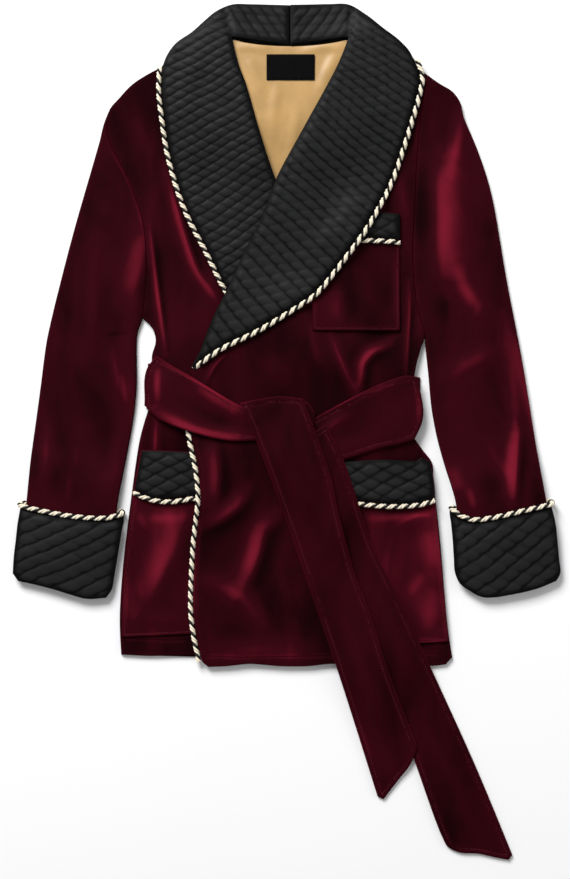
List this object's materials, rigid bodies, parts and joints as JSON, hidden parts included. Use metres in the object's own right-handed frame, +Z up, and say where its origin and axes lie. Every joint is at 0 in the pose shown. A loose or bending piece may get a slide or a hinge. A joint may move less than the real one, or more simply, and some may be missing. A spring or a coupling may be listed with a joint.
{
  "type": "smoking jacket",
  "caption": "Wrap-front velvet smoking jacket laid flat, with quilted satin collar, cuffs and pocket bands, twisted piping cord and a tie belt.",
  "frame": {"origin": "centre of the jacket's box on the surface it lies on", "axes": "+Y up the jacket towards the collar, +X towards the wearer's left, +Z up from the surface, out of the front"},
  "size_m": [0.7106, 1.1143, 0.0328],
  "materials": {
    "wine_velvet": "deep wine cotton velvet with a lying nap and a crimson sheen",
    "black_satin": "black satin quilted in diamonds over thin padding",
    "gold_satin": "pale gold satin lining",
    "black_label": "plain black woven label, bare",
    "twisted_cord": "twisted piping cord of one cream and one black strand"
  },
  "bodies": {
    "root": {"back": "wine_velvet", "back_lining": "gold_satin", "neck_label": "black_label", "front_right": "wine_velvet", "front_left": "wine_velvet", "sleeve_right_top": "wine_velvet", "sleeve_right_under": "wine_velvet", "sleeve_left_top": "wine_velvet", "sleeve_left_under": "wine_velvet", "cuff_right_top": "black_satin", "cuff_right_under": "black_satin", "cuff_left_top": "black_satin", "cuff_left_under": "black_satin", "collar_right": "black_satin", "collar_left": "black_satin", "collar_fall": "black_satin", "cord_collar_right": "twisted_cord", "cord_collar_left": "twisted_cord", "cord_collar_back": "twisted_cord", "cord_front_edge": "twisted_cord", "cord_cuff_right": "twisted_cord", "cord_cuff_left": "twisted_cord", "cord_pocket_chest": "twisted_cord", "cord_pocket_right": "twisted_cord", "cord_pocket_left": "twisted_cord", "pocket_chest": "wine_velvet", "pocket_chest_band": "black_satin", "pocket_right": "wine_velvet", "pocket_right_band": "black_satin", "pocket_left": "wine_velvet", "pocket_left_band": "black_satin", "belt_back": "wine_velvet", "belt_right": "wine_velvet", "belt_left": "wine_velvet", "belt_knot": "wine_velvet", "belt_tail_rear": "wine_velvet", "belt_tail_front": "wine_velvet"}
  },
  "joints": []
}
